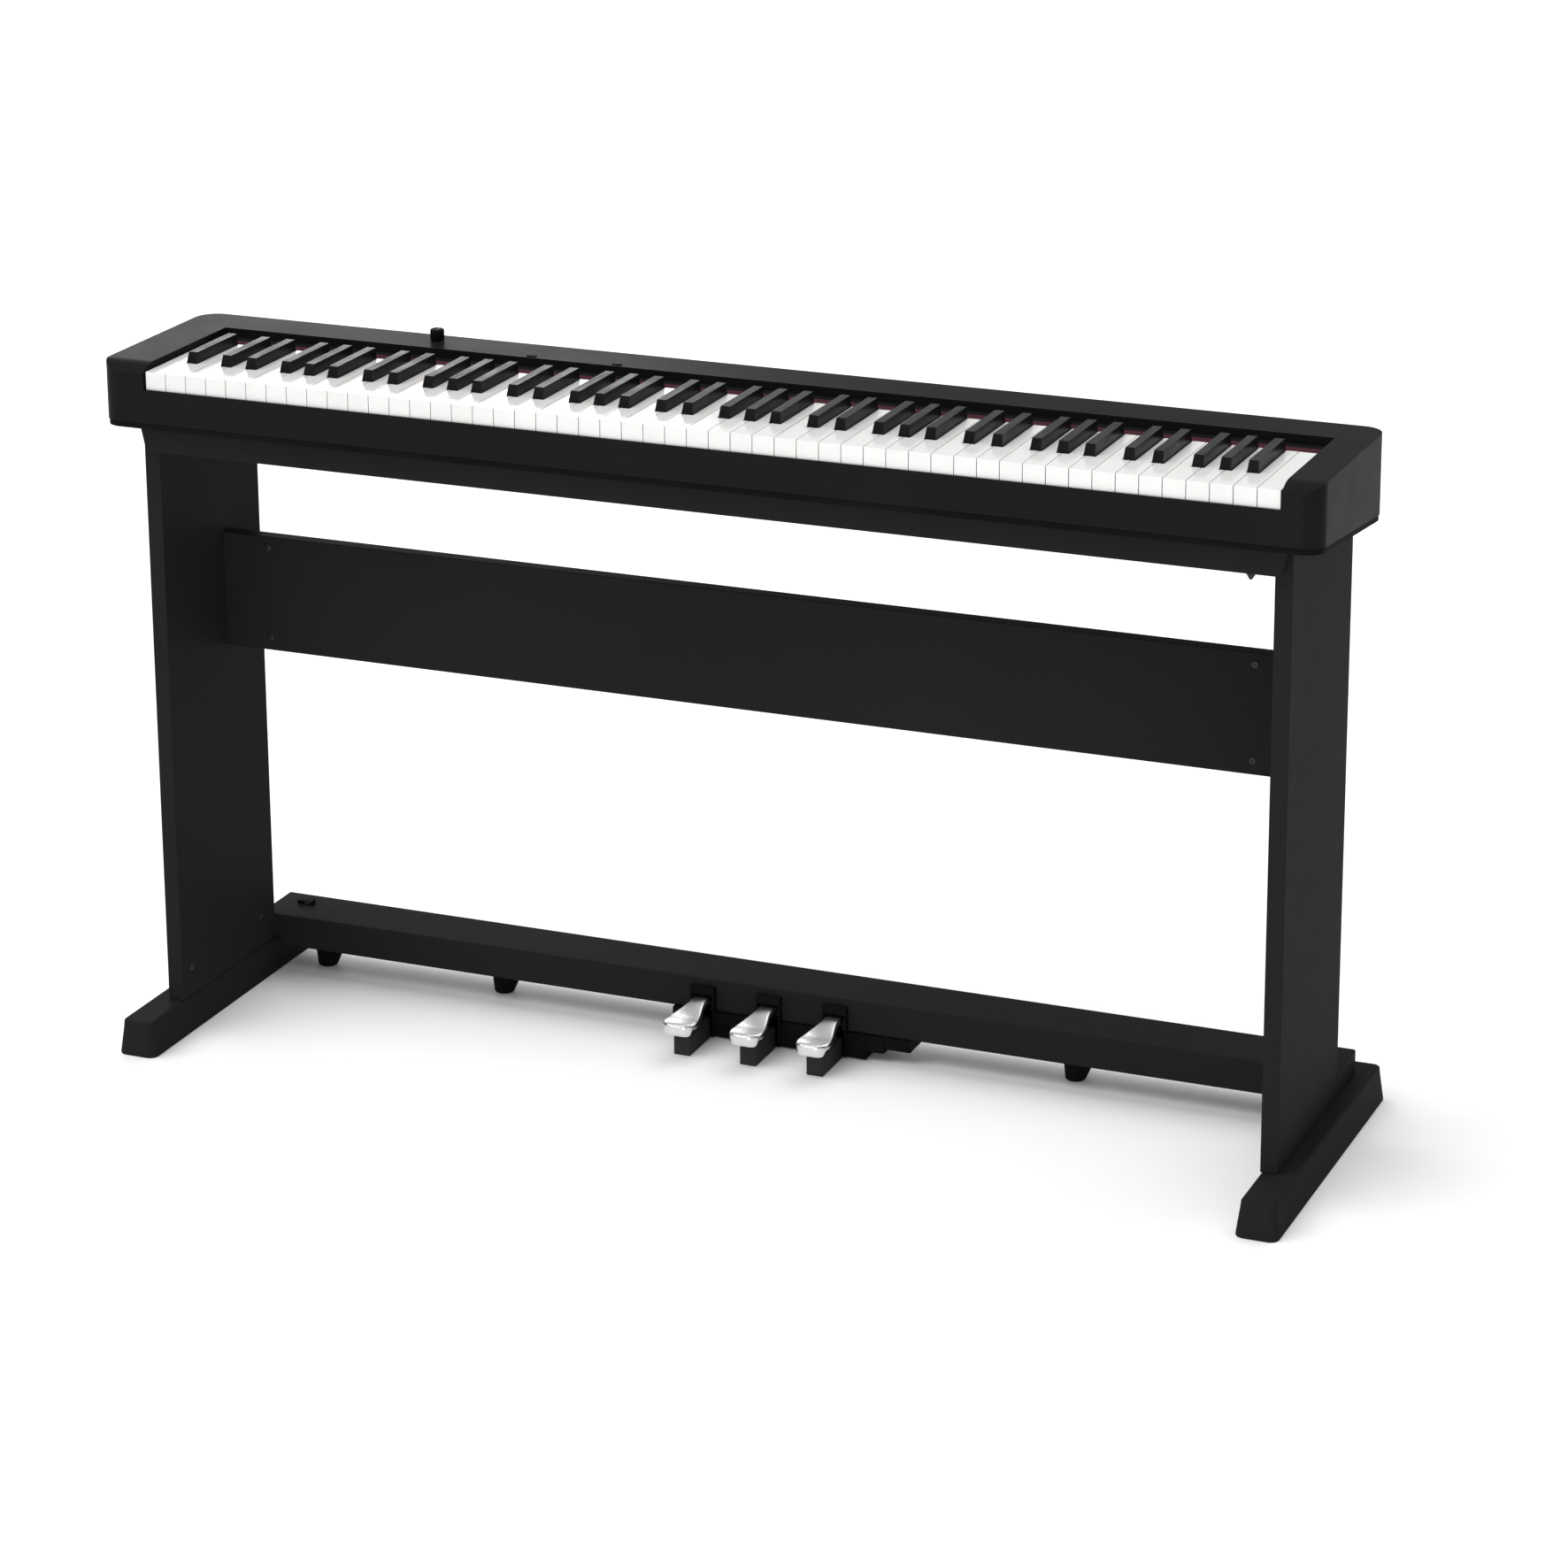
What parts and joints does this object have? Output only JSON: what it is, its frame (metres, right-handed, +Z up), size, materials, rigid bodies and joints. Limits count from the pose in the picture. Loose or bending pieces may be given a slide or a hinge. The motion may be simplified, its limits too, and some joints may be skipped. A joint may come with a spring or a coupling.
{
  "type": "digital piano on stand",
  "caption": "Slim digital piano with a full weighted keyboard on a black board stand with feet, cross beam and pedal unit; keys, pedals, knob and buttons move.",
  "frame": {"origin": "on the floor, at the middle of the feet's footprint", "axes": "+X from the bass end to the treble end, +Y from the player to the back, +Z up"},
  "size_m": [1.322, 0.392, 0.7714],
  "materials": {
    "case": "fine satin black",
    "tray": "matt black",
    "white_key": "glossy ivory white",
    "black_key": "satin black",
    "steel": "plain zinc-plated sheet",
    "felt": "dark red felt",
    "circuit": "green laminate",
    "speaker": "black painted basket and magnet",
    "black_plastic": "moulded black",
    "rubber": "black rubber",
    "board": "black satin foil on fibreboard",
    "black_metal": "black powder coat",
    "pedal": "polished"
  },
  "bodies": {
    "stand_and_case": {"upper_case": "case", "case_back": "case", "lower_case": "tray", "key_chassis": "steel", "key_shaft": "steel", "key_felt": "felt", "key_stop_felt": "felt", "sensor_board": "circuit", "control_board": "circuit", "main_board": "circuit", "speaker_left": "speaker", "speaker_right": "speaker", "jack_block": "black_plastic", "case_feet": "rubber", "side_panel_left": "board", "side_panel_right": "board", "back_panel": "board", "front_rail": "board", "rail_hook": "black_metal", "bracket_left": "black_metal", "bracket_right": "black_metal", "foot_left": "board", "foot_right": "board", "cross_beam": "board", "beam_glides": "black_plastic", "cable_clip": "black_plastic", "stand_screws": "black_metal", "pedal_unit": "black_plastic", "pedal_stops": "rubber", "pedal_axle": "steel"},
    "white_keys_1": {"white_keys_1": "white_key"},
    "white_keys_2": {"white_keys_2": "white_key"},
    "white_keys_3": {"white_keys_3": "white_key"},
    "white_keys_5": {"white_keys_5": "white_key"},
    "white_keys_6": {"white_keys_6": "white_key"},
    "white_keys_7": {"white_keys_7": "white_key"},
    "black_keys_1": {"black_keys_1": "black_key"},
    "black_keys_2": {"black_keys_2": "black_key"},
    "black_keys_3": {"black_keys_3": "black_key"},
    "black_keys_5": {"black_keys_5": "black_key"},
    "black_keys_6": {"black_keys_6": "black_key"},
    "black_keys_7": {"black_keys_7": "black_key"},
    "key_c4": {"key_c4": "white_key"},
    "key_c_sharp4": {"key_c_sharp4": "black_key"},
    "key_d4": {"key_d4": "white_key"},
    "key_d_sharp4": {"key_d_sharp4": "black_key"},
    "key_e4": {"key_e4": "white_key"},
    "key_f4": {"key_f4": "white_key"},
    "key_f_sharp4": {"key_f_sharp4": "black_key"},
    "key_g4": {"key_g4": "white_key"},
    "key_g_sharp4": {"key_g_sharp4": "black_key"},
    "key_a4": {"key_a4": "white_key"},
    "key_a_sharp4": {"key_a_sharp4": "black_key"},
    "key_b4": {"key_b4": "white_key"},
    "power_button": {"power_button": "black_plastic"},
    "function_button": {"function_button": "black_plastic"},
    "volume_knob": {"volume_knob": "black_plastic"},
    "pedal_left": {"pedal_left": "pedal"},
    "pedal_centre": {"pedal_centre": "pedal"},
    "pedal_right": {"pedal_right": "pedal"}
  },
  "joints": [
    {"name": "white_keys_1_press", "type": "hinge", "parent": "stand_and_case", "child": "white_keys_1", "pos_m": [0, 0.06, 0.74], "axis": [1, 0, 0], "range_deg": [0, 2.7], "stiffness_Nm_per_rad": 3.6, "springref_deg": -28.65},
    {"name": "white_keys_2_press", "type": "hinge", "parent": "stand_and_case", "child": "white_keys_2", "pos_m": [0, 0.06, 0.74], "axis": [1, 0, 0], "range_deg": [0, 2.7], "stiffness_Nm_per_rad": 2.8, "springref_deg": -28.65},
    {"name": "white_keys_3_press", "type": "hinge", "parent": "stand_and_case", "child": "white_keys_3", "pos_m": [0, 0.06, 0.74], "axis": [1, 0, 0], "range_deg": [0, 2.7], "stiffness_Nm_per_rad": 2.8, "springref_deg": -28.65},
    {"name": "white_keys_5_press", "type": "hinge", "parent": "stand_and_case", "child": "white_keys_5", "pos_m": [0, 0.06, 0.74], "axis": [1, 0, 0], "range_deg": [0, 2.7], "stiffness_Nm_per_rad": 2.8, "springref_deg": -28.65},
    {"name": "white_keys_6_press", "type": "hinge", "parent": "stand_and_case", "child": "white_keys_6", "pos_m": [0, 0.06, 0.74], "axis": [1, 0, 0], "range_deg": [0, 2.7], "stiffness_Nm_per_rad": 2.8, "springref_deg": -28.65},
    {"name": "white_keys_7_press", "type": "hinge", "parent": "stand_and_case", "child": "white_keys_7", "pos_m": [0, 0.06, 0.74], "axis": [1, 0, 0], "range_deg": [0, 2.7], "stiffness_Nm_per_rad": 3.2, "springref_deg": -28.65},
    {"name": "black_keys_1_press", "type": "hinge", "parent": "stand_and_case", "child": "black_keys_1", "pos_m": [0, 0.06, 0.74], "axis": [1, 0, 0], "range_deg": [0, 2.7], "stiffness_Nm_per_rad": 2.4, "springref_deg": -28.65},
    {"name": "black_keys_2_press", "type": "hinge", "parent": "stand_and_case", "child": "black_keys_2", "pos_m": [0, 0.06, 0.74], "axis": [1, 0, 0], "range_deg": [0, 2.7], "stiffness_Nm_per_rad": 2, "springref_deg": -28.65},
    {"name": "black_keys_3_press", "type": "hinge", "parent": "stand_and_case", "child": "black_keys_3", "pos_m": [0, 0.06, 0.74], "axis": [1, 0, 0], "range_deg": [0, 2.7], "stiffness_Nm_per_rad": 2, "springref_deg": -28.65},
    {"name": "black_keys_5_press", "type": "hinge", "parent": "stand_and_case", "child": "black_keys_5", "pos_m": [0, 0.06, 0.74], "axis": [1, 0, 0], "range_deg": [0, 2.7], "stiffness_Nm_per_rad": 2, "springref_deg": -28.65},
    {"name": "black_keys_6_press", "type": "hinge", "parent": "stand_and_case", "child": "black_keys_6", "pos_m": [0, 0.06, 0.74], "axis": [1, 0, 0], "range_deg": [0, 2.7], "stiffness_Nm_per_rad": 2, "springref_deg": -28.65},
    {"name": "black_keys_7_press", "type": "hinge", "parent": "stand_and_case", "child": "black_keys_7", "pos_m": [0, 0.06, 0.74], "axis": [1, 0, 0], "range_deg": [0, 2.7], "stiffness_Nm_per_rad": 2, "springref_deg": -28.65},
    {"name": "key_c4_press", "type": "hinge", "parent": "stand_and_case", "child": "key_c4", "pos_m": [0, 0.06, 0.74], "axis": [1, 0, 0], "range_deg": [0, 2.7], "stiffness_Nm_per_rad": 0.4, "springref_deg": -28.65},
    {"name": "key_c_sharp4_press", "type": "hinge", "parent": "stand_and_case", "child": "key_c_sharp4", "pos_m": [0, 0.06, 0.74], "axis": [1, 0, 0], "range_deg": [0, 2.7], "stiffness_Nm_per_rad": 0.4, "springref_deg": -28.65},
    {"name": "key_d4_press", "type": "hinge", "parent": "stand_and_case", "child": "key_d4", "pos_m": [0, 0.06, 0.74], "axis": [1, 0, 0], "range_deg": [0, 2.7], "stiffness_Nm_per_rad": 0.4, "springref_deg": -28.65},
    {"name": "key_d_sharp4_press", "type": "hinge", "parent": "stand_and_case", "child": "key_d_sharp4", "pos_m": [0, 0.06, 0.74], "axis": [1, 0, 0], "range_deg": [0, 2.7], "stiffness_Nm_per_rad": 0.4, "springref_deg": -28.65},
    {"name": "key_e4_press", "type": "hinge", "parent": "stand_and_case", "child": "key_e4", "pos_m": [0, 0.06, 0.74], "axis": [1, 0, 0], "range_deg": [0, 2.7], "stiffness_Nm_per_rad": 0.4, "springref_deg": -28.65},
    {"name": "key_f4_press", "type": "hinge", "parent": "stand_and_case", "child": "key_f4", "pos_m": [0, 0.06, 0.74], "axis": [1, 0, 0], "range_deg": [0, 2.7], "stiffness_Nm_per_rad": 0.4, "springref_deg": -28.65},
    {"name": "key_f_sharp4_press", "type": "hinge", "parent": "stand_and_case", "child": "key_f_sharp4", "pos_m": [0, 0.06, 0.74], "axis": [1, 0, 0], "range_deg": [0, 2.7], "stiffness_Nm_per_rad": 0.4, "springref_deg": -28.65},
    {"name": "key_g4_press", "type": "hinge", "parent": "stand_and_case", "child": "key_g4", "pos_m": [0, 0.06, 0.74], "axis": [1, 0, 0], "range_deg": [0, 2.7], "stiffness_Nm_per_rad": 0.4, "springref_deg": -28.65},
    {"name": "key_g_sharp4_press", "type": "hinge", "parent": "stand_and_case", "child": "key_g_sharp4", "pos_m": [0, 0.06, 0.74], "axis": [1, 0, 0], "range_deg": [0, 2.7], "stiffness_Nm_per_rad": 0.4, "springref_deg": -28.65},
    {"name": "key_a4_press", "type": "hinge", "parent": "stand_and_case", "child": "key_a4", "pos_m": [0, 0.06, 0.74], "axis": [1, 0, 0], "range_deg": [0, 2.7], "stiffness_Nm_per_rad": 0.4, "springref_deg": -28.65},
    {"name": "key_a_sharp4_press", "type": "hinge", "parent": "stand_and_case", "child": "key_a_sharp4", "pos_m": [0, 0.06, 0.74], "axis": [1, 0, 0], "range_deg": [0, 2.7], "stiffness_Nm_per_rad": 0.4, "springref_deg": -28.65},
    {"name": "key_b4_press", "type": "hinge", "parent": "stand_and_case", "child": "key_b4", "pos_m": [0, 0.06, 0.74], "axis": [1, 0, 0], "range_deg": [0, 2.7], "stiffness_Nm_per_rad": 0.4, "springref_deg": -28.65},
    {"name": "power_button_press", "type": "slide", "parent": "stand_and_case", "child": "power_button", "axis": [0, 0, -1], "range_m": [0, 0.0008], "stiffness_N_per_m": 300, "springref_m": -0.003},
    {"name": "function_button_press", "type": "slide", "parent": "stand_and_case", "child": "function_button", "axis": [0, 0, -1], "range_m": [0, 0.0008], "stiffness_N_per_m": 300, "springref_m": -0.003},
    {"name": "volume_knob_turn", "type": "hinge", "parent": "stand_and_case", "child": "volume_knob", "pos_m": [-0.371, 0.059, 0.75], "axis": [0, 0, 1], "range_deg": [-140, 140]},
    {"name": "pedal_left_press", "type": "hinge", "parent": "stand_and_case", "child": "pedal_left", "pos_m": [0, 0.132, 0.02], "axis": [1, 0, 0], "range_deg": [0, 3.4], "stiffness_Nm_per_rad": 8, "springref_deg": -8.59},
    {"name": "pedal_centre_press", "type": "hinge", "parent": "stand_and_case", "child": "pedal_centre", "pos_m": [0, 0.132, 0.02], "axis": [1, 0, 0], "range_deg": [0, 3.4], "stiffness_Nm_per_rad": 8, "springref_deg": -8.59},
    {"name": "pedal_right_press", "type": "hinge", "parent": "stand_and_case", "child": "pedal_right", "pos_m": [0, 0.132, 0.02], "axis": [1, 0, 0], "range_deg": [0, 3.4], "stiffness_Nm_per_rad": 8, "springref_deg": -8.59}
  ]
}
